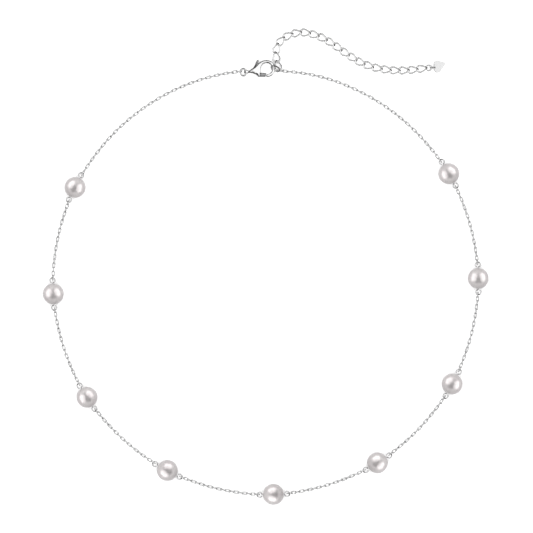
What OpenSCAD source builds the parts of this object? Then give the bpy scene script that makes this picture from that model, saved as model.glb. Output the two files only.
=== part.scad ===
// Pearl station necklace that lies flat in a round loop: drilled pearls on eye pins, a fine cable
// chain between them, a lobster clasp, and an extender chain with a heart tag.
// The origin is the middle of the loop, on the surface that the necklace lies on, and +Y runs from
// there to the clasp. All sizes are in millimetres.

/* [Loop] */
// Length of the necklace, once round and back to the clasp
loop_length = 400; // [395:1:405]
// Number of pearls
pearl_count = 9; // [5:2:9]
// Distance along the loop between the centres of neighbouring pearls
pearl_pitch = 32.9; // [31:0.1:33.5]
// How far the middle pearl lies round from straight below the clasp, in degrees
front_turn = 2.1; // [0:0.1:4]

/* [Pearls and eye pins] */
// Diameter of a pearl
pearl_d = 6.2; // [5.8:0.1:6.6]
// Diameter of the hole drilled through a pearl
pearl_hole_d = 0.7; // [0.6:0.05:0.9]
// Diameter of the pin's wire
pin_d = 0.4; // [0.35:0.05:0.45]
// Outer diameter of the round eyes at the pin's ends
pin_eye_d = 1.9; // [1.8:0.1:2.1]
// Clear distance between a pearl and its eyes
pin_eye_gap = 0.05; // [0.02:0.01:0.1]

/* [Cable chain] */
// Width of the cable chain
chain_d = 1.1; // [1:0.05:1.2]
// Distance over which the chain comes down from an eye to the surface
chain_drop_run = 9.5; // [8:0.5:10]
// Clear distance between the chain's end and the eye or ring that it hangs from
chain_end_gap = 0.15; // [0.1:0.05:0.3]

/* [Lobster clasp] */
// Thickness of the clasp's body
clasp_t = 2; // [1.9:0.05:2.1]
// Radius of the hook, to the middle of its round section
hook_r = 2.13; // [2.11:0.01:2.15]
// Diameter of the hook's round section
hook_d = 0.88; // [0.84:0.01:0.9]
// Thickness of the lever's plate
lever_t = 0.7; // [0.6:0.05:0.75]
// Thickness of the lever's gate, outside the body
gate_t = 1.2; // [1:0.1:1.4]
// Diameter of the rivet that the lever turns on
rivet_d = 0.6; // [0.5:0.05:0.6]
// Radial clearance of the rivet in the lever's bore
rivet_clearance = 0.04; // [0.03:0.01:0.06]
// How far the lever opens, in degrees
lever_swing = 20; // [15:1:20]

/* [Rings] */
// Wire diameter of the clasp's jump ring and the end ring
ring_wire_d = 0.4; // [0.35:0.05:0.4]
// Outer diameter of the end ring that the clasp hooks
end_ring_d = 3.1; // [3.08:0.01:3.12]
// Outer width of the oval jump ring at the clasp's tail
clasp_ring_w = 2.1; // [2.05:0.05:2.15]
// Outer length of the oval jump ring at the clasp's tail
clasp_ring_l = 2.6; // [2.5:0.05:2.7]

/* [Extender and tag] */
// Width of the extender's curb chain
extender_w = 2.4; // [2.2:0.1:2.5]
// Height of the extender's curb chain as it lies
extender_h = 1; // [0.8:0.1:1.1]
// Outer diameter of the ring at the extender's end
extender_ring_d = 2; // [1.95:0.05:2]
// Outer diameter of the upright ring that holds the tag
tag_ring_d = 1.6; // [1.6:0.05:1.65]
// Thickness of the heart tag
tag_t = 0.35; // [0.3:0.05:0.35]
// Radius of each round lobe of the heart
tag_lobe_r = 0.9; // [0.85:0.05:0.95]
// Distance from the tag's eye to the middle of its round tip
tag_l = 3.4; // [3.1:0.1:3.5]

/* [Hidden] */
$fn = 48;

loop_r = loop_length / (2 * PI);
pitch_angle = pearl_pitch / loop_r * 180 / PI;

pearl_names = [for (i = [1:pearl_count]) str("pearl_", i)];
pin_names = [for (i = [1:pearl_count]) str("eye_pin_", i)];
chain_names = [for (i = [1:pearl_count - 1]) str("chain_", i)];

metal = [0.8, 0.8, 0.82];
pearl_white = [0.87, 0.84, 0.84];

// Pearls lie on the surface, so their pins are at half their height
pin_z = pearl_d / 2;
pin_eye_r = (pin_eye_d - pin_d) / 2;
pin_eye_x = pearl_d / 2 + pin_eye_gap + pin_eye_d / 2;

// Numbers of facets round a wire and round a larger curve, and how far a cut runs past a face
wire_sides = 24;
fine_sides = 96;
past = 1;

// Tubes that stand for the fine chains: number of sides, and distance between cross-sections
tube_sides = 8;
tube_step = 5.7;
chain_z = chain_d / 2;
chain_start = pin_eye_x + pin_eye_d / 2 + chain_end_gap;

// The clasp's pivot, seen from the top of the loop, and the hook's centre seen from the pivot
pivot = [-3.8, -0.55];
hook_centre = [4.1, 0.8];
hook_from = -97;
hook_to = 125;
hook_hole_r = hook_r - hook_d / 2;
clasp_z = clasp_t / 2;

// Directions from the pivot to the gate and to the thumb tab, and how far the tab reaches
gate_angle = -24;
tab_angle = 65.5;
tab_reach = 3.85;
arm_w = 1;
tab_w = 0.45;
lever_hub_r = 0.55;
lever_gap = 0.1;
slot_reach = 3.4;
// The gate lies between these distances from the pivot, and between these heights across the clasp
gate_r_in = 2.55;
gate_r_out = 4.12;
gate_y = [-1.62, -0.5];
// How far the gate's arm runs into the gate, and the slope of the room's upper edge
arm_overlap = 0.2;
gate_room_rise = 0.25;

// The clasp's tail eye is upright, with its hole across the clasp
tail_eye = [-5.75, -0.7];
tail_eye_d = 1.5;
tail_eye_hole_d = 0.86;
tail_eye_w = 0.8;

// Places of the rings, seen from the top of the loop, and their tilts and turns in degrees
clasp_ring_at = [-6.65, -0.8, 0.765];
clasp_ring_tilt = -16;
end_ring_at = [2.95, 0.2, 1.375];
end_ring_tilt = 60;
end_ring_turn = -25;
extender_ring_wire = 0.35;
extender_ring_at = [48.9, 0.5, 0.45];
extender_ring_tilt = -14;
tag_ring_wire = 0.3;
tag_ring_at = [49.95, 0.57, 0.8];

// The tag turns round its eye: direction of its tip, and how far the tip leans down, in degrees
tag_at = [50.65, 0.58, 0.8];
tag_turn = 22;
tag_lean = 9;
tag_eye_r = 0.56;
tag_eye_hole_r = 0.3;
// Middles of the two lobes, with the eye on the origin and the tip along x. The heart is lopsided
tag_lobes = [[1.08, 0.83], [0.6, -0.83]];
tag_tip_r = 0.2;

// The extender's route, seen from the top of the loop: x, y and the chain's width there
extender_route = [
    [3.95, 0.1, 1.2],
    [3.1, 3.8, extender_w],
    [3.3, 6.8, extender_w],
    [4.8, 9, extender_w],
    [7.2, 10.4, extender_w],
    [10.8, 11.2, extender_w],
    [14.8, 10.4, extender_w],
    [19, 8.4, extender_w],
    [24, 4.9, extender_w],
    [28.4, 2.1, extender_w],
    [33.4, 0.4, extender_w],
    [38.9, -0.3, extender_w],
    [44.2, -0.1, extender_w],
    [47.7, 0.35, extender_w],
];

// Direction from the middle of the loop to pearl i, in degrees
function pearl_angle(i) = -90 + front_turn + ((pearl_count + 1) / 2 - i) * pitch_angle;

// The angle that a length takes up along the loop
function along(length) = length / loop_r * 180 / PI;

// Height of the chain's middle at a distance from the end that hangs from a pin's eye
function hang(s) =
    chain_z + (pin_z - chain_z) * pow(max(0, 1 - s / chain_drop_run), 2);

// Points of the chain's route round the loop, from a pin's eye at angle a to angle b
function chain_route(a, b, eye_at_b) =
    let (length = abs(b - a) * PI / 180 * loop_r, steps = ceil(length / tube_step))
    [for (j = [0:steps])
        let (t = j / steps, angle = a + (b - a) * t, s = length * t)
        [loop_r * cos(angle), loop_r * sin(angle),
         eye_at_b ? max(hang(s), hang(length - s)) : hang(s)]];

// Direction of a route at its point j, in degrees
function heading(route, j) =
    let (a = route[max(j - 1, 0)], b = route[min(j + 1, len(route) - 1)])
    atan2(b[1] - a[1], b[0] - a[0]);

// One upright cross-section of a tube, with flats at its top, bottom and sides
function cross_section(p, turn, w, h) =
    [for (k = [0:tube_sides - 1])
        let (a = 360 * (k + 0.5) / tube_sides,
             across = w / 2 / cos(180 / tube_sides) * cos(a),
             up = h / 2 / cos(180 / tube_sides) * sin(a))
        [p[0] - across * sin(turn), p[1] + across * cos(turn), p[2] + up]];

// Sides of a tube through n cross-sections, and its two ends
function tube_faces(n) = concat(
    [[for (k = [0:tube_sides - 1]) tube_sides - 1 - k]],
    [for (j = [0:n - 2], k = [0:tube_sides - 1])
        let (next = (k + 1) % tube_sides)
        [j * tube_sides + k, j * tube_sides + next,
         (j + 1) * tube_sides + next, (j + 1) * tube_sides + k]],
    [[for (k = [0:tube_sides - 1]) (n - 1) * tube_sides + k]]);

module tube(route, widths, h) {
    points = [for (j = [0:len(route) - 1])
        each cross_section(route[j], heading(route, j), widths[j], h)];
    polyhedron(points, tube_faces(len(route)));
}

// Moves a piece to angle a on the loop, with its x axis along the loop
module on_loop(a) {
    rotate([0, 0, a])
        translate([loop_r, 0, 0])
            rotate([0, 0, 90])
                children();
}

// Moves a piece that is drawn from the top of the loop
module at_clasp() {
    translate([0, loop_r, 0])
        children();
}

// Moves a piece that is drawn from the clasp's pivot
module at_pivot() {
    at_clasp()
        translate([pivot[0], pivot[1], 0])
            children();
}

// A round wire ring lying flat
module wire_ring(outer_d, wire_d) {
    rotate_extrude()
        translate([(outer_d - wire_d) / 2, 0])
            circle(d = wire_d, $fn = wire_sides);
}

// An oval wire ring lying flat, with its length along y
module oval_ring(w, l, wire_d) {
    r = (w - wire_d) / 2;
    straight = l - w;
    for (side = [0, 180]) rotate([0, 0, side]) {
        translate([0, straight / 2, 0])
            rotate_extrude(angle = 180)
                translate([r, 0])
                    circle(d = wire_d, $fn = wire_sides);
        translate([r, -straight / 2, 0])
            rotate([-90, 0, 0])
                cylinder(d = wire_d, h = straight, $fn = wire_sides);
    }
}

module pearl(i) {
    color(pearl_white)
        on_loop(pearl_angle(i))
            translate([0, 0, pin_z])
                difference() {
                    sphere(d = pearl_d, $fn = fine_sides);
                    rotate([0, 90, 0])
                        cylinder(d = pearl_hole_d, h = pearl_d + 2 * past, center = true, $fn = wire_sides);
                }
}

module eye_pin(i) {
    color(metal)
        on_loop(pearl_angle(i))
            translate([0, 0, pin_z]) {
                rotate([0, 90, 0])
                    cylinder(d = pin_d, h = 2 * (pin_eye_x - pin_eye_r), center = true, $fn = wire_sides);
                for (side = [-1, 1])
                    translate([side * pin_eye_x, 0, 0])
                        wire_ring(pin_eye_d, pin_d);
            }
}

// The cable chain along the loop from a pin's eye at angle a to angle b
module cable_chain(a, b, eye_at_b) {
    route = chain_route(a, b, eye_at_b);
    color(metal)
        tube(route, [for (p = route) chain_d], chain_d);
}

// The stretch between pearl i and the next one
module chain_between(i) {
    cable_chain(pearl_angle(i) - along(chain_start), pearl_angle(i + 1) + along(chain_start), true);
}

module chain_clasp_side() {
    ring_edge = clasp_ring_at[0] - clasp_ring_w / 2 - chain_end_gap;
    cable_chain(pearl_angle(pearl_count) + 360 - along(chain_start), 90 - asin(ring_edge / loop_r), false);
}

module chain_ring_side() {
    ring_edge = end_ring_at[0] + end_ring_d / 2 + chain_end_gap;
    cable_chain(pearl_angle(1) + along(chain_start), 90 - asin(ring_edge / loop_r), false);
}

module clasp_ring() {
    color(metal)
        at_clasp()
            translate(clasp_ring_at)
                rotate([0, clasp_ring_tilt, 0])
                    oval_ring(clasp_ring_w, clasp_ring_l, ring_wire_d);
}

module end_ring() {
    color(metal)
        at_clasp()
            translate(end_ring_at)
                rotate([end_ring_tilt, 0, end_ring_turn])
                    wire_ring(end_ring_d, ring_wire_d);
}

// Outline of the clasp's body, from the tail to the root of the hook
module body_outline() {
    polygon([
        [-1.5, -0.4], [-0.2, -0.5], [0.85, -0.95], [1.72, -1.75],
        [2.7, -0.9], [2.9, 0.8], [3.3, 2.4], [2.9, 3], [2.2, 2.85],
        [1.4, 2.45], [0.9, 1.95], [-0.5, 0.5], [-1.5, 0.15],
    ]);
}

// Area that an arm of the lever takes up between rest and wide open
module arm_sweep(angle, w) {
    half = w / 2 + lever_gap;
    open = angle + lever_swing;
    polygon([
        half * [sin(angle), -cos(angle)],
        half * [sin(angle), -cos(angle)] + slot_reach * [cos(angle), sin(angle)],
        half * [-sin(open), cos(open)] + slot_reach * [cos(open), sin(open)],
        half * [-sin(open), cos(open)],
    ]);
}

// Room that the gate swings in, on arcs round the pivot
module gate_room() {
    reach = 2 * gate_r_out;
    difference() {
        circle(r = gate_r_out + lever_gap, $fn = fine_sides);
        circle(r = gate_r_in - lever_gap, $fn = fine_sides);
        polygon([[0, 0], [reach, gate_room_rise * reach], [reach, reach], [-reach, reach],
            [-reach, -reach], [0, -reach]]);
    }
}

module clasp_body() {
    slot_t = lever_t + 2 * lever_gap;
    color(metal)
        difference() {
            union() {
                at_pivot() {
                    linear_extrude(clasp_t)
                        difference() {
                            body_outline();
                            translate(hook_centre)
                                circle(r = hook_hole_r, $fn = fine_sides);
                        }
                    translate([hook_centre[0], hook_centre[1], clasp_z])
                        rotate([0, 0, hook_from])
                            rotate_extrude(angle = hook_to - hook_from, $fn = fine_sides)
                                translate([hook_r, 0])
                                    circle(d = hook_d, $fn = wire_sides);
                }
                at_clasp()
                    translate([tail_eye[0], tail_eye[1], clasp_z])
                        rotate([90, 0, 0])
                            cylinder(d = tail_eye_d, h = tail_eye_w, center = true);
            }
            at_clasp()
                translate([tail_eye[0], tail_eye[1], clasp_z])
                    rotate([90, 0, 0])
                        cylinder(d = tail_eye_hole_d, h = tail_eye_w + 2 * past, center = true);
            at_pivot() {
                translate([0, 0, -past])
                    linear_extrude(clasp_t + 2 * past)
                        gate_room();
                translate([0, 0, clasp_z - slot_t / 2])
                    difference() {
                        linear_extrude(slot_t)
                            union() {
                                circle(r = lever_hub_r + lever_gap);
                                arm_sweep(gate_angle, arm_w);
                                arm_sweep(tab_angle, tab_w);
                            }
                        cylinder(d = rivet_d, h = slot_t);
                    }
            }
        }
}

module clasp_lever() {
    color(metal)
        at_pivot()
            difference() {
                union() {
                    translate([0, 0, clasp_z - lever_t / 2])
                        linear_extrude(lever_t)
                            union() {
                                circle(r = lever_hub_r);
                                rotate(gate_angle)
                                    translate([0, -arm_w / 2])
                                        square([gate_r_in + arm_overlap, arm_w]);
                                rotate(tab_angle)
                                    translate([0, -tab_w / 2])
                                        square([tab_reach, tab_w]);
                            }
                    translate([0, 0, clasp_z - gate_t / 2])
                        linear_extrude(gate_t)
                            intersection() {
                                translate([0, gate_y[0]])
                                    square([gate_r_out, gate_y[1] - gate_y[0]]);
                                difference() {
                                    circle(r = gate_r_out, $fn = fine_sides);
                                    circle(r = gate_r_in, $fn = fine_sides);
                                }
                            }
                }
                translate([0, 0, -past])
                    cylinder(d = rivet_d + 2 * rivet_clearance, h = clasp_t + 2 * past);
            }
}

module extender_chain() {
    color(metal)
        at_clasp()
            tube([for (p = extender_route) [p[0], p[1], extender_h / 2]],
                [for (p = extender_route) p[2]], extender_h);
}

module extender_end_ring() {
    color(metal)
        at_clasp()
            translate(extender_ring_at)
                rotate([0, extender_ring_tilt, 0])
                    wire_ring(extender_ring_d, extender_ring_wire);
}

module tag_ring() {
    color(metal)
        at_clasp()
            translate(tag_ring_at)
                rotate([90, 0, 0])
                    wire_ring(tag_ring_d, tag_ring_wire);
}

// Direction in which the heart's straight side faces, between a lobe and the tip
function side_faces(lobe) =
    let (run = [tag_l, 0] - lobe)
    atan2(run[1], run[0]) + sign(lobe[1]) * acos((tag_lobe_r - tag_tip_r) / norm(run));

function toward(angle, distance) = distance * [cos(angle), sin(angle)];

// The heart from above, with its eye on the origin and its tip along x
module heart_outline() {
    upper = side_faces(tag_lobes[0]);
    lower = side_faces(tag_lobes[1]);
    polygon([[0, 0], tag_lobes[1], tag_lobes[1] + toward(lower, tag_lobe_r),
        [tag_l, 0] + toward(lower, tag_tip_r), [tag_l, 0] + toward(upper, tag_tip_r),
        tag_lobes[0] + toward(upper, tag_lobe_r), tag_lobes[0]]);
    translate([tag_l, 0])
        circle(r = tag_tip_r);
    for (lobe = tag_lobes)
        translate(lobe)
            circle(r = tag_lobe_r);
    circle(r = tag_eye_r);
}

module heart_tag() {
    color(metal)
        at_clasp()
            translate(tag_at)
                rotate([0, tag_lean, tag_turn])
                    translate([0, 0, -tag_t / 2])
                        linear_extrude(tag_t)
                            difference() {
                                heart_outline();
                                circle(r = tag_eye_hole_r);
                            }
}

for (i = [1:pearl_count]) pearl(i);
for (i = [1:pearl_count]) eye_pin(i);
for (i = [1:pearl_count - 1]) chain_between(i);
chain_clasp_side();
chain_ring_side();
clasp_ring();
clasp_body();
clasp_lever();
end_ring();
extender_chain();
extender_end_ring();
tag_ring();
heart_tag();
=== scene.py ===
import math
import random

import bpy
from mathutils import Matrix, Vector


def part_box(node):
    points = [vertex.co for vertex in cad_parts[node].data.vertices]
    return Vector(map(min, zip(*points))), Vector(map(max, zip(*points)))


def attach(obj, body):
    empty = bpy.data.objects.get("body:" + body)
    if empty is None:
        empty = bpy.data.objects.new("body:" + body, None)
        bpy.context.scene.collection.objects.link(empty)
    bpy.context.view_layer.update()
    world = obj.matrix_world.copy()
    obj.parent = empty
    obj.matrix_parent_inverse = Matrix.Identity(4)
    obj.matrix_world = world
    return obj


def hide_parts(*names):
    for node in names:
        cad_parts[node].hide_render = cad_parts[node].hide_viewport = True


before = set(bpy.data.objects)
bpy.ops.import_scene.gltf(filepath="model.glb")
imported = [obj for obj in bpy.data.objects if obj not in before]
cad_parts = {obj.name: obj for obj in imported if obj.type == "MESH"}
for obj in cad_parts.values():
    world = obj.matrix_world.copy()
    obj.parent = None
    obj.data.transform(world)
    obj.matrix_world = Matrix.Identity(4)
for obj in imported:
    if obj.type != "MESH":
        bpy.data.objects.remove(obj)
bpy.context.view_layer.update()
mm = 0.001

# Pearls: round, 6.2 mm across, drilled through, with the drill's mouth slightly rounded.
# White nacre with a soft pink-grey cast. They are lustrous rather than glassy.
pearl_count = 9
pearl_r = 3.1 * mm
pearl_rings = 40
drill_r = 0.35 * mm
drill_mouth = 0.06 * mm


def start_piece(name):
    """Names the primitive just added and puts its place into its mesh."""
    piece = bpy.context.object
    piece.name = piece.data.name = name
    bpy.ops.object.transform_apply(location=True, rotation=True, scale=True)
    return piece


def deselect():
    """Makes sure that the next operator acts only on what is made or chosen after this."""
    bpy.ops.object.select_all(action="DESELECT")


def select_verts(piece, wanted):
    """In edit mode, selects the vertices whose place satisfies wanted."""
    bpy.ops.mesh.select_mode(type="VERT")
    bpy.ops.mesh.select_all(action="DESELECT")
    bpy.ops.object.mode_set(mode="OBJECT")
    for v in piece.data.vertices:
        v.select = wanted(v.co)
    bpy.ops.object.mode_set(mode="EDIT")


def outward_and_smooth(piece):
    """Leaves edit mode with every face turned outward and shaded smooth."""
    bpy.ops.mesh.select_all(action="SELECT")
    bpy.ops.mesh.normals_make_consistent(inside=False)
    bpy.ops.object.mode_set(mode="OBJECT")
    bpy.ops.object.shade_smooth()


def in_drill(p, within=1.01):
    """Whether a point of the pearl lies on or inside the drill's round."""
    return math.hypot(p.y, p.z) < within * drill_r


# A ball with its poles along x. Its poles come off, and the first ring at each end becomes the
# drill's mouth.
deselect()
bpy.ops.mesh.primitive_uv_sphere_add(
    segments=72, ring_count=pearl_rings, radius=pearl_r, rotation=(0, math.pi / 2, 0))
pearl_pattern = start_piece("pearl_pattern")
bpy.ops.object.mode_set(mode="EDIT")
select_verts(pearl_pattern, lambda p: in_drill(p, 0.01))
bpy.ops.mesh.delete(type="VERT")
ring_x = pearl_r * math.cos(math.pi / pearl_rings)
mouth_x = math.sqrt(pearl_r**2 - drill_r**2)
to_mouth = drill_r / (pearl_r * math.sin(math.pi / pearl_rings))
for side in (-1, 1):
    select_verts(pearl_pattern, lambda p: p.x * side > ring_x - 0.01 * mm)
    bpy.ops.transform.resize(value=(1, to_mouth, to_mouth), center_override=(0, 0, 0))
    bpy.ops.transform.translate(value=(side * (mouth_x - ring_x), 0, 0))
select_verts(pearl_pattern, in_drill)
bpy.ops.mesh.bridge_edge_loops()
select_verts(pearl_pattern, in_drill)
bpy.ops.mesh.select_mode(type="EDGE")
bpy.ops.object.mode_set(mode="OBJECT")
for e in pearl_pattern.data.edges:
    a, b = (pearl_pattern.data.vertices[k].co for k in e.vertices)
    e.select = in_drill(a) and in_drill(b) and abs(a.x - b.x) < 0.01 * mm
bpy.ops.object.mode_set(mode="EDIT")
bpy.ops.mesh.bevel(offset=drill_mouth, segments=3)
outward_and_smooth(pearl_pattern)


def grain_group():
    """Fine grain: a value that wavers about 1 and a height, for nacre and for polished metal."""
    group = bpy.data.node_groups.new("fine_grain", "ShaderNodeTree")
    sockets = group.interface
    sockets.new_socket("Vector", in_out="INPUT", socket_type="NodeSocketVector")
    size = sockets.new_socket("Size", in_out="INPUT", socket_type="NodeSocketFloat")
    size.default_value = 1000
    sockets.new_socket("Amount", in_out="INPUT", socket_type="NodeSocketFloat")
    sockets.new_socket("Waver", in_out="OUTPUT", socket_type="NodeSocketFloat")
    sockets.new_socket("Height", in_out="OUTPUT", socket_type="NodeSocketFloat")
    n, link = group.nodes, group.links.new
    given, out = n.new("NodeGroupInput"), n.new("NodeGroupOutput")
    noise = n.new("ShaderNodeTexNoise")
    noise.inputs["Detail"].default_value = 3
    link(given.outputs["Vector"], noise.inputs["Vector"])
    link(given.outputs["Size"], noise.inputs["Scale"])
    spread = n.new("ShaderNodeMapRange")
    spread.inputs["To Min"].default_value = -1
    spread.inputs["To Max"].default_value = 1
    link(noise.outputs["Fac"], spread.inputs["Value"])
    scaled = n.new("ShaderNodeMath")
    scaled.operation = "MULTIPLY"
    link(spread.outputs["Result"], scaled.inputs[0])
    link(given.outputs["Amount"], scaled.inputs[1])
    waver = n.new("ShaderNodeMath")
    waver.inputs[1].default_value = 1
    link(scaled.outputs[0], waver.inputs[0])
    link(waver.outputs[0], out.inputs["Waver"])
    link(noise.outputs["Fac"], out.inputs["Height"])
    return group


fine_grain = grain_group()


def new_material(name):
    """A material with its shader, and Object coordinates for its patterns."""
    material = bpy.data.materials.new(name)
    material.use_nodes = True
    nodes = material.node_tree.nodes
    shader = nodes["Principled BSDF"]
    place = nodes.new("ShaderNodeTexCoord")
    return material, nodes, material.node_tree.links.new, shader, place.outputs["Object"]


def add_grain(nodes, link, place, size, amount):
    """Grain of a material's own size and amount."""
    grain = nodes.new("ShaderNodeGroup")
    grain.node_tree = fine_grain
    grain.inputs["Size"].default_value = size
    grain.inputs["Amount"].default_value = amount
    link(place, grain.inputs["Vector"])
    return grain


def grain_in_gloss(nodes, link, grain, shader, roughness):
    """Roughness that wavers with the grain."""
    dull = nodes.new("ShaderNodeMath")
    dull.operation = "MULTIPLY"
    dull.inputs[1].default_value = roughness
    link(grain.outputs["Waver"], dull.inputs[0])
    link(dull.outputs[0], shader.inputs["Roughness"])


def grain_in_relief(nodes, link, grain, shader, strength):
    """Ripples as deep as the grain is high."""
    ripple = nodes.new("ShaderNodeBump")
    ripple.inputs["Strength"].default_value = strength
    ripple.inputs["Distance"].default_value = 0.02 * mm
    link(grain.outputs["Height"], ripple.inputs["Height"])
    link(ripple.outputs["Normal"], shader.inputs["Normal"])


nacre, nodes, link, shader, place = new_material("nacre")
clouds = nodes.new("ShaderNodeTexNoise")
clouds.inputs["Scale"].default_value = 420
clouds.inputs["Detail"].default_value = 2
link(place, clouds.inputs["Vector"])
cast = nodes.new("ShaderNodeValToRGB")
cast.color_ramp.elements[0].position = 0.3
cast.color_ramp.elements[0].color = (0.795, 0.742, 0.746, 1)
cast.color_ramp.elements[1].position = 0.7
cast.color_ramp.elements[1].color = (0.865, 0.828, 0.822, 1)
link(clouds.outputs["Fac"], cast.inputs["Fac"])
link(cast.outputs["Color"], shader.inputs["Base Color"])
layers = add_grain(nodes, link, place, 900, 0.1)
grain_in_gloss(nodes, link, layers, shader, 0.3)
grain_in_relief(nodes, link, layers, shader, 0.03)
shader.inputs["Metallic"].default_value = 0.5
shader.inputs["Coat Weight"].default_value = 0.3
shader.inputs["Coat Roughness"].default_value = 0.12
pearl_pattern.data.materials.append(nacre)


def copy_of(pattern, name, place):
    """A copy with its own mesh, moved there by its vertices."""
    mesh = pattern.data.copy()
    mesh.transform(place)
    piece = bpy.data.objects.new(name, mesh)
    mesh.name = name
    bpy.context.scene.collection.objects.link(piece)
    return piece


def hand_in(piece, node, body="necklace"):
    """Puts a piece in the body it moves with, and hides the CAD node it stands for."""
    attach(piece, body)
    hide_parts(node)


def middle_of(node):
    low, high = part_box(node)
    return (low + high) / 2


def beside_loop(middle):
    """Moves a pattern to a place near the loop, with x along the loop."""
    along = math.atan2(middle.y, middle.x) + math.pi / 2
    return Matrix.Translation(middle) @ Matrix.Rotation(along, 4, "Z")


def pearl_place(i):
    return beside_loop(middle_of(f"pearl_{i}"))


pearls = []
for i in range(1, pearl_count + 1):
    pearl = copy_of(pearl_pattern, f"nacre_pearl_{i}", pearl_place(i))
    hand_in(pearl, f"pearl_{i}")
    pearls.append(pearl)
bpy.data.objects.remove(pearl_pattern)

# Eye pins: one 0.4 mm wire through each pearl. At each end it bends aside and turns back in a
# round eye, and its cut end stops just short of the wire. Bright silver plate over brass.
wire_r = 0.2 * mm
eye_x = 4.1 * mm
eye_r = 0.75 * mm
eye_wrap = math.radians(312)
bend_r = 0.3 * mm
wire_sides = 12
crease = math.radians(50)


# A mix of colours takes its share at input 0 and its two colours at 6 and 7, and gives output 2
def grained_metal(name, size, amount, dark, bright, roughness):
    """A metal between two tones, with fine grain in its tone and its gloss."""
    metal, nodes, link, shader, place = new_material(name)
    shader.inputs["Metallic"].default_value = 1
    grain = add_grain(nodes, link, place, size, amount)
    tone = nodes.new("ShaderNodeMix")
    tone.data_type = "RGBA"
    tone.inputs[6].default_value = (*dark, 1)
    tone.inputs[7].default_value = (*bright, 1)
    link(grain.outputs["Height"], tone.inputs[0])
    link(tone.outputs[2], shader.inputs["Base Color"])
    grain_in_gloss(nodes, link, grain, shader, roughness)
    return metal, nodes, link, shader, grain


silver, nodes, link, shader, polish = grained_metal(
    "silver_plate", 1500, 0.3, (0.86, 0.86, 0.865), (0.93, 0.93, 0.93), 0.12)
grain_in_relief(nodes, link, polish, shader, 0.05)

# The bend's end and the eye's start meet where both run the same way
meet = math.asin(bend_r / (eye_r + bend_r))
bend_x = eye_x - (eye_r + bend_r) * math.cos(meet)

deselect()
bpy.ops.mesh.primitive_circle_add(vertices=wire_sides, radius=wire_r, rotation=(0, math.pi / 2, 0))
pin_pattern = start_piece("pin_pattern")
bpy.ops.object.mode_set(mode="EDIT")
bpy.ops.mesh.select_all(action="SELECT")
bpy.ops.mesh.extrude_region_move(TRANSFORM_OT_translate={"value": (bend_x, 0, 0)})
bpy.ops.mesh.spin(steps=6, angle=math.pi / 2 - meet, center=(bend_x, -bend_r, 0), axis=(0, 0, 1))
bpy.ops.mesh.spin(steps=40, angle=eye_wrap, center=(eye_x, 0, 0), axis=(0, 0, -1))
bpy.ops.mesh.edge_face_add()
bpy.ops.mesh.select_all(action="SELECT")
bpy.ops.mesh.duplicate()
bpy.ops.transform.rotate(value=math.pi, orient_axis="Z", center_override=(0, 0, 0))
bpy.ops.mesh.select_all(action="SELECT")
bpy.ops.mesh.remove_doubles(threshold=0.001 * mm)
outward_and_smooth(pin_pattern)
bpy.ops.object.shade_smooth_by_angle(angle=crease)
pin_pattern.data.materials.append(silver)

pins = []
for i in range(1, pearl_count + 1):
    pin = copy_of(pin_pattern, f"wire_eye_pin_{i}", pearl_place(i))
    hand_in(pin, f"eye_pin_{i}")
    pins.append(pin)
bpy.data.objects.remove(pin_pattern)

# Cable chain: oval links bent from 0.28 mm wire and soldered shut, each at a right angle to the
# next. On the table every second link lies nearly flat, and the ones between stand on edge.
link_l = 1.93 * mm
link_w = 1.06 * mm
link_wire_r = 0.14 * mm
link_pitch = 1.36 * mm
link_sides = 14
loop_round = 400 * mm
loop_r = loop_round / math.tau
in_eye = 0.14 * mm

# How links are rolled about the chain's length, and how far a loose one may be off that
flat_roll = math.radians(15)
edge_roll = math.radians(-75)
loose_degrees = 6

# Links near an eye are twisted up along with it, and the chain comes down from it to the table
eye_twist = math.radians(42)
twist_run = 2.7 * mm
lying_z = 0.52 * mm
drop_run = 9.5 * mm

deselect()
bpy.ops.mesh.primitive_torus_add(
    major_segments=link_sides, minor_segments=5, major_radius=link_w / 2 - link_wire_r,
    minor_radius=link_wire_r, rotation=(0, 0, math.pi / link_sides))
link_pattern = start_piece("link_pattern")
bpy.ops.object.mode_set(mode="EDIT")
for side in (-1, 1):
    select_verts(link_pattern, lambda p: p.x * side > 0)
    bpy.ops.transform.translate(value=(side * (link_l - link_w) / 2, 0, 0))
outward_and_smooth(link_pattern)
link_pattern.data.materials.append(silver)


def smooth_step(t):
    """Rises gently from 0 to 1 as t does."""
    t = min(1, max(0, t))
    return t * t * (3 - 2 * t)


def follow(route, steps=4000):
    """Points close together on a route, a function of 0 to 1, and how far along it each one is."""
    points = [route(k / steps) for k in range(steps + 1)]
    far = [0]
    for a, b in zip(points, points[1:]):
        far.append(far[-1] + (b - a).length)
    return points, far


def at_length(points, far, s):
    """The point a length s along the route."""
    low, high = 0, len(far) - 1
    while high - low > 1:
        middle = (low + high) // 2
        low, high = (middle, high) if far[middle] < s else (low, middle)
    t = (s - far[low]) / (far[high] - far[low])
    return points[low].lerp(points[high], t)


def link_frame(a, b, roll):
    """Moves a link that lies flat along x, to run from a to b, rolled about its length."""
    x = (b - a).normalized()
    side = Vector((0, 0, 1)).cross(x).normalized()
    up = x.cross(side)
    y = side * math.cos(roll) + up * math.sin(roll)
    z = x.cross(y)
    turn = Matrix((x, y, z)).transposed().to_4x4()
    return Matrix.Translation((a + b) / 2) @ turn


def joined(copies, name):
    deselect()
    for piece in copies:
        piece.select_set(True)
    bpy.context.view_layer.objects.active = copies[0]
    bpy.ops.object.join()
    copies[0].name = copies[0].data.name = name
    return copies[0]


wobble = random.Random(4)
stretches = []


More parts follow.
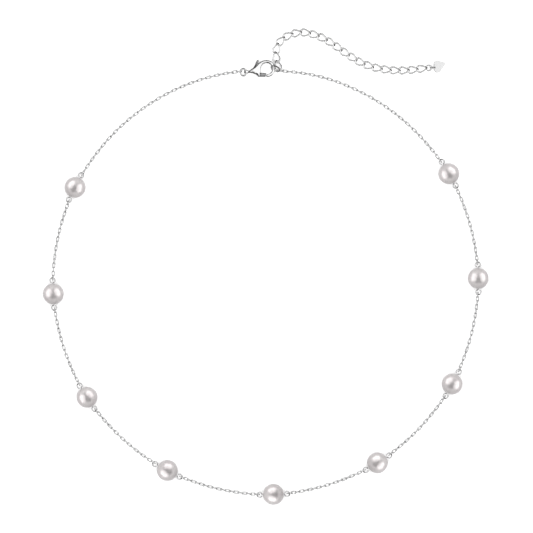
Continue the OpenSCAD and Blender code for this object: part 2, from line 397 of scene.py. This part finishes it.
def link_chain(name, node, route, last_hold, side=1):
    """Lays links along a route from a pin's eye. The last one stands on edge in what holds it."""
    points, far = follow(route)
    run = far[-1] - in_eye - last_hold
    count = round(run / link_pitch)
    ends = [at_length(points, far, in_eye + run * k / count) for k in range(count + 1)]
    copies = []
    for k, (a, b) in enumerate(zip(ends, ends[1:])):
        if (count - k) % 2:
            roll = edge_roll
        else:
            roll = flat_roll + eye_twist * smooth_step(1 - (k + 0.5) * link_pitch / twist_run)
        roll = side * roll + math.radians(wobble.uniform(-loose_degrees, loose_degrees))
        copies.append(copy_of(link_pattern, f"{name}_{k}", link_frame(a, b, roll)))
    links = joined(copies, name)
    hand_in(links, node)
    stretches.append((links, (ends[0] + ends[-1]) / 2))


def hanging_z(s):
    """Height of the chain a length s from the middle of a pin's eye."""
    clear = max(0, s - eye_r - wire_r)
    return lying_z + (pearl_r - lying_z) * max(0, 1 - clear / drop_run) ** 2


def on_loop(angle, z):
    return Vector((loop_r * math.cos(angle), loop_r * math.sin(angle), z))


def eye_angle(i, side):
    """Direction from the middle of the loop to an eye of pearl i: side 1 is clockwise of it."""
    x, y, _ = pearl_place(i) @ Vector((-side * eye_x, 0, 0))
    return math.atan2(y, x)


for i in range(1, pearl_count):
    start, end = eye_angle(i, 1), eye_angle(i + 1, -1)
    if end > start:
        end -= math.tau
    span = (start - end) * loop_r

    def between(t, start=start, end=end, span=span):
        return on_loop(start + (end - start) * t, hanging_z(span * min(t, 1 - t)))

    link_chain(f"cable_links_{i}", f"chain_{i}", between, in_eye)

# Clasp's jump ring: an oval ring of 0.4 mm wire that joins the chain to the clasp's tail. Its cut
# is closed up and faces the clasp.
ring_wire_r = 0.2 * mm
ring_cut = math.radians(4)
oval_r = 0.85 * mm
oval_straight = 0.5 * mm
clasp_ring_tilt = math.radians(-16)


def bent_ring(name, middle_r, wire, metal, straight=0):
    """A ring that lies flat round the origin, bent from wire with a fine cut on its +x side."""
    deselect()
    bpy.ops.mesh.primitive_circle_add(
        vertices=wire_sides, radius=wire, fill_type="NGON", rotation=(math.pi / 2, 0, 0),
        location=(middle_r, straight / 2, 0))
    ring = start_piece(name)
    bpy.ops.object.mode_set(mode="EDIT")
    bpy.ops.mesh.select_all(action="SELECT")
    if straight:
        bpy.ops.mesh.spin(steps=16, angle=math.pi, center=(0, straight / 2, 0), axis=(0, 0, -1))
        bpy.ops.mesh.extrude_region_move(TRANSFORM_OT_translate={"value": (0, -straight, 0)})
        bpy.ops.mesh.spin(steps=16, angle=math.pi, center=(0, -straight / 2, 0), axis=(0, 0, -1))
        to_cut = straight - ring_cut * middle_r
        bpy.ops.mesh.extrude_region_move(TRANSFORM_OT_translate={"value": (0, to_cut, 0)})
    else:
        bpy.ops.mesh.spin(steps=40, angle=math.tau - ring_cut, center=(0, 0, 0), axis=(0, 0, -1))
    outward_and_smooth(ring)
    bpy.ops.object.shade_smooth_by_angle(angle=crease)
    ring.data.materials.append(metal)
    return ring


clasp_ring = bent_ring("clasp_jump_ring", oval_r, ring_wire_r, silver, oval_straight)
clasp_ring_middle = middle_of("clasp_ring")
clasp_ring.data.transform(
    Matrix.Translation(clasp_ring_middle) @ Matrix.Rotation(clasp_ring_tilt, 4, "Y"))
hand_in(clasp_ring, "clasp_ring")

# End ring: a round ring of silver-plated wire, 3.1 mm across, that the clasp hooks. It stands
# steeply in the hook, and the chain and the extender both hang from its right side. Its upper
# side is painted darker: painted shade for the dark that it would mirror there.
end_ring_r = 1.35 * mm
end_ring_turn = math.radians(-25)
end_ring_tilt = math.radians(60)
end_ring_cut = math.radians(120)

# The shaded side's direction in the ring's own plane, and where its painted shade starts, in mm
shaded_x, shaded_y = 0.53, -0.85
shade_from, shade_fade = 0.6, 0.3


def retoned(material, name, dark, bright):
    """A copy of a metal with another range of greys, and the node that mixes them."""
    metal = material.copy()
    metal.name = name
    tone = next(n for n in metal.node_tree.nodes if n.type == "MIX")
    tone.inputs[6].default_value = (dark, dark, dark, 1)
    tone.inputs[7].default_value = (bright, bright, bright, 1)
    return metal, tone


# A copy of the silver that a mask darkens: painted shade where its pieces would mirror dark or lie in
# shade
tarnished_silver, tone = retoned(silver, "tarnished_silver", 0.86, 0.93)
nodes, link = tarnished_silver.node_tree.nodes, tarnished_silver.node_tree.links.new
shade_mark = nodes.new("ShaderNodeAttribute")
shade_mark.attribute_name = "paint_shade"
darken = nodes.new("ShaderNodeMix")
darken.data_type = "RGBA"
darken.inputs[7].default_value = (0.2, 0.195, 0.19, 1)
link(shade_mark.outputs["Fac"], darken.inputs[0])
link(tone.outputs[2], darken.inputs[6])
link(darken.outputs[2], nodes["Principled BSDF"].inputs["Base Color"])


def paint_shade(piece, amount):
    """Marks how much painted shade each point of a piece gets, from 0 to 1, by its place in mm."""
    marks = piece.data.attributes.new("paint_shade", "FLOAT", "POINT")
    for v, mark in zip(piece.data.vertices, marks.data):
        mark.value = amount(*(v.co / mm))


def shaded_side(x, y, z):
    """The side that is uppermost once the ring stands in the hook, which gets painted shade."""
    return smooth_step((shaded_x * x + shaded_y * y - shade_from) / shade_fade)


end_ring_place = (
    Matrix.Translation(middle_of("end_ring")) @ Matrix.Rotation(end_ring_turn, 4, "Z")
    @ Matrix.Rotation(end_ring_tilt, 4, "X"))
end_ring = bent_ring("end_jump_ring", end_ring_r, ring_wire_r, tarnished_silver)
# Painted shade along the ring's upper side
paint_shade(end_ring, shaded_side)
end_ring.data.transform(end_ring_place @ Matrix.Rotation(end_ring_cut, 4, "Z"))
hand_in(end_ring, "end_ring")

# The two long ends of the cable chain, from the outermost pearls up to those rings. Each is drawn
# off the round of the loop, and up off the table, to the wire that holds its last link.
sway_run = 14 * mm
lift_run = 3.5 * mm
clasp_hook = Vector((wire_r, 0.3 * mm, 0))
ring_hook_degrees = -12


def in_end_ring(degrees, inward):
    """A place inward of the end ring's wire, by its direction in the ring's own plane."""
    r, turn = end_ring_r - inward, math.radians(degrees)
    return end_ring_place @ Vector((r * math.cos(turn), r * math.sin(turn), 0))


def long_end(name, node, pearl, side, hook_point, lean_side):
    """Chain from an outermost pearl's eye to the point where a ring's wire holds it."""
    start = eye_angle(pearl, side)
    end = math.atan2(hook_point.y, hook_point.x)
    start += math.tau if start - end < -math.pi else 0
    span = abs(start - end) * loop_r
    off_loop = hook_point - on_loop(end, lying_z)

    def route(t):
        s = t * span
        p = on_loop(start + (end - start) * t, hanging_z(s))
        sway = smooth_step(1 - (span - s) / sway_run)
        lift = max(0, 1 - (span - s) / lift_run) ** 2
        return p + Vector((off_loop.x * sway, off_loop.y * sway, off_loop.z * lift))

    link_chain(name, node, route, 0, lean_side)


ring_out = Matrix.Rotation(clasp_ring_tilt, 3, "Y") @ Vector((-oval_r, 0, 0))
long_end("cable_links_clasp_side", "chain_clasp_side", pearl_count, 1,
         clasp_ring_middle + ring_out + clasp_hook, 1)
long_end("cable_links_ring_side", "chain_ring_side", 1, -1,
         in_end_ring(ring_hook_degrees, wire_r), -1)
bpy.data.objects.remove(link_pattern)

# Lobster clasp's body: cast in one piece, a claw that tapers to an upright tail eye. Between its
# two cheeks is a slot for the lever, open below, with a rivet across it. The casting is tumbled
# smooth, and painted shade darkens stretches of its flanks and the top of its opening, where it
# would mirror the dark room.
top_of_loop = Vector((0, loop_r, 0))
clasp_z = 1
claw_middle = (0.3, 0.25)
claw_rounding = 0.5
straight_share = 0.4
rounded_share = 0.28


def round_station(degrees, half_h, inner=1.69, outer=2.57):
    """A cut through the claw where it runs round its opening: x, y and half height at each side."""
    c, s = math.cos(math.radians(degrees)), math.sin(math.radians(degrees))
    return [(claw_middle[0] + r * c, claw_middle[1] + r * s, half_h) for r in (inner, outer)]


# The clasp's places are in mm from the top of the loop, with heights from the clasp's middle.
# These are cuts through the claw from its tip round to the gate's root: x, y and half height at
# the side of the opening, and the same at the outer side. Where they differ from the rest, the
# outer edge's rounding and its straight share come last.
claw_stations = [
    [(0.28, -1.62, 0.2), (0.2, -2.08, 0.2)],
    [(0.34, -1.5, 0.38), (0.27, -2.2, 0.38)],
    *(round_station(a, 0.45) for a in range(-75, 31, 15)),
    round_station(45, 0.51),
    round_station(60, 0.57),
    round_station(75, 0.64),
    round_station(90, 0.71),
    [(-0.14, 1.88, 0.78), (-0.37, 2.76, 0.77)],
    [(-0.55, 1.71, 0.84), (-1.08, 2.56, 0.82)],
    [(-0.9, 1.45, 0.89), (-1.88, 2.12, 0.85)],
    [(-1.17, 1.09, 0.93), (-2.86, 1.5, 0.85)],
    [(-1.34, 0.69, 0.95), (-3.72, 0.6, 0.82), 0.85, 0.58],
    [(-1.4, 0.3, 0.95), (-4.55, -0.2, 0.75), 1, 0.62],
    [(-1.42, -0.1, 0.95), (-5.32, -0.46, 0.55), 0.9, 0.72],
    [(-1.42, -0.45, 0.95), (-5.32, -0.94, 0.55), 0.9, 0.72],
    [(-1.44, -0.8, 0.95), (-4.2, -1.05, 0.75), 1.4, 0.6],
    [(-1.5, -1.15, 0.93), (-3.05, -1.45, 0.83), 0.8, 0.5],
    [(-1.57, -1.32, 0.89), (-2.5, -1.98, 0.82), 0.35, 0.5],
    [(-1.64, -1.46, 0.86), (-2.08, -2.35, 0.8)],
    [(-1.67, -1.51, 0.82), (-2.01, -2.43, 0.76)],
]


def section_corners(station, rounding):
    """The eight corners of a cut whose edges are rounded off."""
    (ix, iy, ih), (ox, oy, oh), *outer_edge = station
    inner, outer = Vector((ix, iy, 0)), Vector((ox, oy, 0))
    across = (outer - inner).normalized()
    rounding = min(rounding, rounded_share * (outer - inner).length)
    outer_rounding, outer_share = outer_edge or (rounding, straight_share)
    a = inner + across * rounding
    b = outer - across * outer_rounding
    up = Vector((0, 0, 1))
    inner_wall, outer_wall = up * ih * straight_share, up * oh * outer_share
    corners = [inner - inner_wall, inner + inner_wall, a + up * ih, b + up * oh,
               outer + outer_wall, outer - outer_wall, b - up * oh, a - up * ih]
    return [top_of_loop + (corner + up * clasp_z) * mm for corner in corners]


def apply_modifier(piece, kind, **settings):
    modifier = piece.modifiers.new(kind.lower(), kind)
    for key, value in settings.items():
        setattr(modifier, key, value)
    bpy.context.view_layer.objects.active = piece
    bpy.ops.object.modifier_apply(modifier=modifier.name)


def cast_through(name, stations, rounding):
    """A bar drawn out from a plate through one station after another, and rounded."""
    deselect()
    now = section_corners(stations[0], rounding)
    bpy.ops.mesh.primitive_circle_add(vertices=len(now), fill_type="NGON")
    bar = start_piece(name)
    for v, corner in zip(bar.data.vertices, now):
        v.co = corner
    bpy.ops.object.mode_set(mode="EDIT")
    bpy.ops.mesh.select_all(action="SELECT")
    for station in stations[1:]:
        then = section_corners(station, rounding)
        bpy.ops.mesh.extrude_region_move()
        bpy.ops.object.mode_set(mode="OBJECT")
        for v in bar.data.vertices:
            if v.select:
                v.co = then[min(range(len(now)), key=lambda k: (v.co - now[k]).length)]
        bpy.ops.object.mode_set(mode="EDIT")
        now = then
    outward_and_smooth(bar)
    apply_modifier(bar, "SUBSURF", levels=3, render_levels=3)
    return bar


claw = cast_through("clasp_claw", claw_stations, claw_rounding)

# The tail eye: a ring on edge, drawn out broad
tail_eye_middle = top_of_loop + Vector((-5.75, -0.7, clasp_z)) * mm
tail_eye_breadth = 2.3
deselect()
bpy.ops.mesh.primitive_torus_add(
    major_segments=48, minor_segments=20, major_radius=0.59 * mm, minor_radius=0.16 * mm,
    location=tail_eye_middle, rotation=(math.pi / 2, 0, 0))
tail_eye = start_piece("tail_eye")
bpy.ops.object.mode_set(mode="EDIT")
bpy.ops.mesh.select_all(action="SELECT")
bpy.ops.transform.resize(value=(1, tail_eye_breadth, 1), center_override=tail_eye_middle)
bpy.ops.object.mode_set(mode="OBJECT")

# The slot: room round the lever's hub and for both of its arms to swing, open below the gate's
pivot_x, pivot_y = -3.8, -0.55
lever_pivot = top_of_loop + Vector((pivot_x, pivot_y, clasp_z)) * mm
gate_turn, tab_turn = -24, 65.5
open_turn = -40
lever_swing = 20
slot_h = 0.78 * mm
slot_reach = 3.4
rivet_r = 0.3 * mm
rivet_l = 1.84 * mm


def slot_arm(name, first, last, width):
    """Solid as high as the slot, over the room where one arm of the lever swings."""
    corners = []
    for side, turn in ((-1, math.radians(first)), (1, math.radians(last))):
        c, s = math.cos(turn), math.sin(turn)
        x, y = -side * width / 2 * s, side * width / 2 * c
        corners += [(x, y), (x + slot_reach * c, y + slot_reach * s)]
    deselect()
    bpy.ops.mesh.primitive_plane_add(size=1)
    room = start_piece(name)
    for v, corner in zip(room.data.vertices, corners):
        v.co = lever_pivot + Vector((*corner, -slot_h / 2 / mm)) * mm
    bpy.ops.object.mode_set(mode="EDIT")
    bpy.ops.mesh.select_all(action="SELECT")
    bpy.ops.mesh.extrude_region_move(TRANSFORM_OT_translate={"value": (0, 0, slot_h)})
    outward_and_smooth(room)
    return room


deselect()
bpy.ops.mesh.primitive_cylinder_add(vertices=48, radius=0.65 * mm, depth=slot_h, location=lever_pivot)
hub_room = start_piece("hub_room")
rooms = [hub_room, slot_arm("gate_room", open_turn, gate_turn + lever_swing, 1.2),
         slot_arm("tab_room", tab_turn, tab_turn + lever_swing, 0.65)]
deselect()
bpy.ops.mesh.primitive_cylinder_add(vertices=32, radius=rivet_r, depth=rivet_l, location=lever_pivot)
rivet = start_piece("rivet")
apply_modifier(rivet, "BEVEL", width=0.1 * mm, segments=3, limit_method="ANGLE", angle_limit=crease)
for tool, how in ((tail_eye, "UNION"), *((room, "DIFFERENCE") for room in rooms), (rivet, "UNION")):
    apply_modifier(claw, "BOOLEAN", object=tool, operation=how, solver="EXACT")
    bpy.data.objects.remove(tool)
deselect()
claw.select_set(True)
bpy.ops.object.shade_smooth_by_angle(angle=crease)


# Places of painted shade on the claw, in mm and degrees: along a stretch of the upper flank, along
# the lower one, both only as far as the tail eye, and on the inner side at the top of the opening
upper_line, upper_middle, upper_half = 2.645, -3.75, 1.1
lower_line, lower_end = -0.6, -3
tail_end = -5.5
top_within, top_middle, top_half = 2.2, 74, 34


def claw_painted_shade(x, y, z):
    y -= top_of_loop.y / mm
    above = smooth_step((0.7 * (y - x) - upper_line) / 0.15)
    above *= smooth_step((upper_half - abs(x - upper_middle)) / 0.4)
    below = smooth_step((lower_line - y) / 0.15) * smooth_step((lower_end - x) / 0.5)
    beside_tail = max(above, below) * smooth_step((x - tail_end) / 0.3)
    from_middle = Vector((x - claw_middle[0], y - claw_middle[1]))
    turn = math.degrees(math.atan2(from_middle.y, from_middle.x))
    top = smooth_step((top_within - from_middle.length) / 0.3)
    top *= smooth_step((top_half - abs(turn - top_middle)) / 28)
    return max(top, beside_tail)


# Painted shade on the claw, where it would mirror the dark room
paint_shade(claw, claw_painted_shade)
claw.data.materials.clear()
claw.data.materials.append(tarnished_silver)
hand_in(claw, "clasp_body")

# Lever: the clasp's sprung gate with its thumb tab, cast in one piece of darker steel. It turns
# on the rivet, and its thick gate shuts against the claw's tip.
lever_rounding = 0.3


def arm_station(degrees, reach, width, half_h):
    """A cut across one arm of the lever: its side toward the other arm first."""
    c, s = math.cos(math.radians(degrees)), math.sin(math.radians(degrees))
    half = math.copysign(width / 2, degrees)
    return [(pivot_x + reach * c + off * s, pivot_y + reach * s - off * c, half_h)
            for off in (half, -half)]


# Cuts through the lever from the tab's end over the hub to the gate's end
lever_stations = [
    arm_station(tab_turn, 3.85, 0.4, 0.28),
    arm_station(tab_turn, 3.7, 0.46, 0.34),
    arm_station(tab_turn, 2.4, 0.46, 0.35),
    arm_station(tab_turn, 0.9, 0.5, 0.35),
    [(-3.45, -0.2, 0.35), (-4.3, -0.3, 0.35)],
    [(-3.35, -0.3, 0.35), (-4.3, -0.85, 0.35)],
    [(-3.3, -0.4, 0.35), (-3.85, -1.1, 0.35)],
    arm_station(gate_turn, 0.9, 0.8, 0.35),
    arm_station(gate_turn, 2, 0.9, 0.35),
    [(-1.56, -1.03, 0.4), (-1.93, -1.92, 0.4)],
    [(-1.3, -1.07, 0.6), (-1.8, -2.15, 0.6)],
    [(-1.04, -1.07, 0.62), (-1.6, -2.17, 0.62)],
    [(-0.45, -1.07, 0.62), (-0.85, -2.17, 0.62)],
    [(0.09, -1.07, 0.62), (-0.15, -2.17, 0.62)],
    [(0.28, -1.07, 0.6), (0, -2.15, 0.6)],
]

spring_steel, *_ = grained_metal("spring_steel", 2200, 0.25, (0.3, 0.3, 0.305), (0.4, 0.4, 0.4), 0.3)
lever = cast_through("clasp_gate_lever", lever_stations, lever_rounding)
lever.data.materials.append(spring_steel)
hand_in(lever, "clasp_lever", body="lever")

# Extender: curb links of 0.4 mm wire, wide at one end and twisted on edge at the other, where
# each holds the next one's wide end. They lie in one long curve on the table. Each is painted
# darker at its narrow end: painted shade where it passes through the next link.
curb_wire_r = 0.2 * mm
curb_count = 21
curb_z = 0.57 * mm
ring_curb_degrees = 30
ring_curb_inward = 0.25 * mm
last_curb = Vector((-0.65, 0, 0)) * mm

# Where the extender runs, in mm from the top of the loop
extender_route = [
    (3.1, 3.8), (3.3, 6.8), (4.8, 9), (7.2, 10.4), (10.8, 11.2), (14.8, 10.4),
    (19, 8.4), (24, 4.9), (28.4, 2.1), (33.4, 0.4), (38.9, -0.3), (44.2, -0.1),
]


def wire_loop(name, corners, wire):
    """A closed wire through corners, each given as a place and the way that the wire runs there."""
    deselect()
    bpy.ops.curve.primitive_bezier_circle_add()
    loop = start_piece(name)
    loop.data.resolution_u = 16
    loop.data.bevel_depth = wire
    loop.data.bevel_resolution = 3
    for point, (place, run) in zip(loop.data.splines[0].bezier_points, corners):
        point.handle_left_type = point.handle_right_type = "FREE"
        point.co = Vector(place) * mm
        point.handle_left = (Vector(place) - Vector(run)) * mm
        point.handle_right = (Vector(place) + Vector(run)) * mm
    bpy.ops.object.convert(target="MESH")
    bpy.ops.object.mode_set(mode="EDIT")
    outward_and_smooth(loop)
    return loop


curb_pattern = wire_loop("curb_pattern", [
    ((-1.5, 0, 0), (0, 0.75, 0)),
    ((-0.55, 1.0, 0.1), (0.62, -0.05, 0.02)),
    ((1.5, 0, 0), (0, -0.12, -0.4)),
    ((-0.55, -1.0, -0.1), (-0.62, -0.05, 0.02)),
], curb_wire_r)
# Painted shade at each link's narrow end, where it passes through the next one
paint_shade(curb_pattern, lambda x, y, z: smooth_step((x - 0.9) / 0.4))
curb_pattern.data.materials.append(tarnished_silver)


def rounded(corners):
    """A smooth route through corners, as a function of 0 to 1."""
    padded = [corners[0] * 2 - corners[1], *corners, corners[-1] * 2 - corners[-2]]

    def route(t):
        k = min(int(t * (len(corners) - 1)), len(corners) - 2)
        u = t * (len(corners) - 1) - k
        a, b, c, d = padded[k:k + 4]
        return (b + (c - a) * u / 2 + (2 * a - 5 * b + 4 * c - d) * u**2 / 2
                + (3 * b - a - 3 * c + d) * u**3 / 2)

    return route


middle_points = [top_of_loop + Vector((x * mm, y * mm, curb_z)) for x, y in extender_route]
points, far = follow(rounded([
    in_end_ring(ring_curb_degrees, ring_curb_inward), *middle_points,
    middle_of("extender_end_ring") + last_curb]))
holds = [at_length(points, far, far[-1] * k / curb_count) for k in range(curb_count + 1)]
curbs = [copy_of(curb_pattern, f"curb_{k}", link_frame(a, b, 0))
         for k, (a, b) in enumerate(zip(holds, holds[1:]))]
extender = joined(curbs, "extender_curb_links")
hand_in(extender, "extender_chain")
bpy.data.objects.remove(curb_pattern)

# Extender's end ring, which holds the last link, and the small upright ring that carries the tag.
# Both are bent from fine wire, the end ring silver-plated and the tag's ring of darker steel, whose
# darker tone is partly painted shade, for the shade it stands in on edge.
small_ring_r, small_ring_wire_r = 0.825 * mm, 0.175 * mm
small_ring_tilt, small_ring_cut = math.radians(-14), math.radians(70)
tag_ring_r, tag_ring_wire_r = 0.65 * mm, 0.15 * mm
upright, tag_ring_cut = math.radians(90), math.radians(90)

small_ring = bent_ring("extender_last_ring", small_ring_r, small_ring_wire_r, silver)
small_ring.data.transform(
    Matrix.Translation(middle_of("extender_end_ring")) @ Matrix.Rotation(small_ring_tilt, 4, "Y")
    @ Matrix.Rotation(small_ring_cut, 4, "Z"))
hand_in(small_ring, "extender_end_ring")
dull_steel, _ = retoned(spring_steel, "dull_steel", 0.48, 0.6)
# The tag ring's darker steel tone is partly painted shade
tag_ring = bent_ring("tag_jump_ring", tag_ring_r, tag_ring_wire_r, dull_steel)
tag_ring.data.transform(
    Matrix.Translation(middle_of("tag_ring")) @ Matrix.Rotation(upright, 4, "X")
    @ Matrix.Rotation(tag_ring_cut, 4, "Z"))
hand_in(tag_ring, "tag_ring")

# Heart tag: stamped from sheet 0.35 mm thick, with a small eye in its notch. Its edges are
# polished round, and its silver plate is a little worn.
heart_edge = 0.16 * mm


def merged_copy(node, name):
    """A copy of a CAD node's mesh, with its loose triangles joined into flat faces."""
    piece = bpy.data.objects.new(name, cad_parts[node].data.copy())
    piece.data.name = name
    piece.data.materials.clear()
    bpy.context.scene.collection.objects.link(piece)
    deselect()
    piece.select_set(True)
    bpy.context.view_layer.objects.active = piece
    bpy.ops.mesh.customdata_custom_splitnormals_clear()
    bpy.ops.object.mode_set(mode="EDIT")
    bpy.ops.mesh.select_all(action="SELECT")
    bpy.ops.mesh.remove_doubles(threshold=0.0005 * mm)
    bpy.ops.mesh.dissolve_limited(angle_limit=math.radians(1))
    bpy.ops.object.mode_set(mode="OBJECT")
    return piece


heart = merged_copy("heart_tag", "heart_tag_stamped")
bpy.ops.object.shade_smooth()
apply_modifier(heart, "BEVEL", width=heart_edge, segments=5, limit_method="ANGLE",
               angle_limit=crease, harden_normals=True)
worn_silver, _ = retoned(silver, "worn_silver", 0.76, 0.9)
heart.data.materials.append(worn_silver)
hand_in(heart, "heart_tag")

# The table: a plain matt white top. To the camera it is white. In the metal's reflections it is
# dark, as the room round it is, because the chain would be lost in a white one.
table_w = 6


def split_by_view(nodes, link, seen, mirrored, output):
    """Shows one shader to the camera and another to everything that mirrors it."""
    path = nodes.new("ShaderNodeLightPath")
    either = nodes.new("ShaderNodeMixShader")
    link(path.outputs["Is Camera Ray"], either.inputs["Fac"])
    link(mirrored.outputs[0], either.inputs[1])
    link(seen.outputs[0], either.inputs[2])
    link(either.outputs[0], nodes[output].inputs["Surface"])


deselect()
bpy.ops.mesh.primitive_plane_add(size=table_w)
table = start_piece("white_table")
table_white = bpy.data.materials.new("table_white")
table_white.use_nodes = True
nodes, link = table_white.node_tree.nodes, table_white.node_tree.links.new
seen = nodes["Principled BSDF"]
seen.inputs["Base Color"].default_value = (0.95, 0.95, 0.95, 1)
seen.inputs["Roughness"].default_value = 0.9
seen.inputs["Specular IOR Level"].default_value = 0
mirrored = nodes.new("ShaderNodeBsdfDiffuse")
mirrored.inputs["Color"].default_value = (0.1, 0.1, 0.1, 1)
split_by_view(nodes, link, seen, mirrored, "Material Output")
table.data.materials.append(table_white)

# The room: white where the camera sees it past the table's edge, and dim in reflections, so that
# the lights alone shape the metal.
world = bpy.data.worlds.new("studio")
bpy.context.scene.world = world
world.use_nodes = True
nodes, link = world.node_tree.nodes, world.node_tree.links.new
backdrop = nodes["Background"]
backdrop.inputs["Color"].default_value = (1, 1, 1, 1)
backdrop.inputs["Strength"].default_value = 1.1
dim_room = nodes.new("ShaderNodeBackground")
dim_room.inputs["Color"].default_value = (0.07, 0.07, 0.07, 1)
split_by_view(nodes, link, backdrop, dim_room, "World Output")

# The lights: soft rectangles over and beside the table, each for one group of pieces, so that the
# fine wire, the clasp and the pearls each mirror what suits them. Sizes and places are in metres,
# and the lights of the pearls, pins and chain stand beside each of them at the same distance.
over_h = 0.9
side_off, side_h = 46 * mm, 38 * mm
side_w = 0.07


def lit_group(name, pieces):
    """The only pieces that some lights light."""
    group = bpy.data.collections.new(name)
    for piece in pieces:
        group.objects.link(piece)
    return group


def softbox(name, place, aim, w, h, watts, lit):
    """A soft rectangular light at place, facing aim, for one group of pieces."""
    light = bpy.data.lights.new(name, "AREA")
    light.shape = "RECTANGLE"
    light.size, light.size_y, light.energy = w, h, watts
    lamp = bpy.data.objects.new(name, light)
    lamp.location = place
    lamp.rotation_euler = (Vector(aim) - Vector(place)).to_track_quat("-Z", "Y").to_euler()
    lamp.visible_camera = False
    bpy.context.scene.collection.objects.link(lamp)
    lamp.light_linking.receiver_collection = lit


def side_boxes(piece, place, long, watts, shift=0):
    """A soft light on the loop's inner side and one on its outer side, for one piece at place."""
    lit = lit_group(f"{piece.name}_lit", [piece])
    for side in (-1, 1):
        softbox(f"{piece.name}_side_{side}", place @ Vector((shift, side * side_off, side_h)),
                place @ Vector((-shift / 2, 0, 0)), long, side_w, watts, lit)


clasp_lit = lit_group("clasp_lit", [clasp_ring, claw, lever])
ring_lit = lit_group("ring_lit", [end_ring])
extender_lit = lit_group("extender_lit", [extender, small_ring, tag_ring])
tag_lit = lit_group("tag_lit", [heart])
fine_lit = lit_group("fine_lit", pins + [links for links, _ in stretches])
pearls_lit = lit_group("pearls_lit", pearls)
softbox("over_clasp", (0.45, 0.1, over_h), (0.45, 0.1, 0), 1.9, 2.2, 14, clasp_lit)
softbox("over_end_ring", (0.45, -0.4, over_h), (0.45, -0.4, 0), 1.9, 1.2, 5, ring_lit)
beside_clasp = top_of_loop + Vector((97.5, -0.8, 0.2)) * mm
softbox("clasp_bounce", beside_clasp, beside_clasp + Vector((0, 0, 1)), 0.2, 0.0028, 0.001, clasp_lit)
softbox("over_extender", (0, 0, over_h), (0, 0, 0), 2.8, 1.04, 9.6, extender_lit)
softbox("over_tag", (0, 0, over_h), (0, 0, 0), 2.8, 2.8, 8.6, tag_lit)
softbox("tag_shine", (0.36, 0.21, over_h), middle_of("heart_tag"), 0.6, 0.6, 0.66, tag_lit)

# Four walls of light round the table for each group of metal pieces: watts at the right, the
# front, the back and the left
wall_off, wall_h = 1.4, 0.62
for lit, right, front, back, left in (
        (clasp_lit, 9, 0.6, 2.6, 0.3), (ring_lit, 3, 18, 0.8, 0.4),
        (extender_lit, 8, 2.4, 2.4, 8), (tag_lit, 3, 2, 2.5, 1.5)):
    for x, y, watts in ((1, 0, right), (0, -1, front), (0, 1, back), (-1, 0, left)):
        softbox(f"{lit.name}_wall_{x}_{y}", (x * wall_off, y * wall_off, wall_h), (0, 0, wall_h),
                2.8, 1.1, watts, lit)
softbox("over_table", (0, 0, 1), (0, 0, 0), 1.2, 1.2, 22, lit_group("table_lit", [table]))
for group, watts in ((fine_lit, 0.9), (pearls_lit, 1.3)):
    softbox(f"{group.name}_bounce", (0, 0, 0.2 * mm), (0, 0, 1), 1, 1, watts, group)
for x, y in ((1, 0), (0, 1), (-1, 0), (0, -1)):
    softbox(f"pearl_wall_{x}_{y}", (x, y, 0.35), (0, 0, 0), 2, 0.7, 2.7, pearls_lit)

# The pearls' own lights are shifted along the loop, one way on its right and the other on its left
pearl_shift = 11 * mm
for i, (pearl, pin) in enumerate(zip(pearls, pins), 1):
    side_boxes(pearl, pearl_place(i), 0.095, 0.0268, pearl_shift if i < 5 else -pearl_shift)
    side_boxes(pin, pearl_place(i), 0.11, 0.024)
for links, middle in stretches:
    side_boxes(links, beside_loop(middle), 0.11, 0.025)

# The camera: straight above the necklace, looking down. It stands far off, so that sizes are true
# across the view.
view_w = 159.9 * mm
view_middle = (0.27 * mm, 4.59 * mm)
camera_h = 1.5
camera = bpy.data.objects.new("camera", bpy.data.cameras.new("camera"))
bpy.context.scene.collection.objects.link(camera)
camera.data.lens = camera.data.sensor_width * camera_h / view_w
camera.location = (*view_middle, camera_h)
camera.data.clip_start = 0.01
bpy.context.scene.camera = camera
bpy.context.scene.view_settings.view_transform = "Standard"
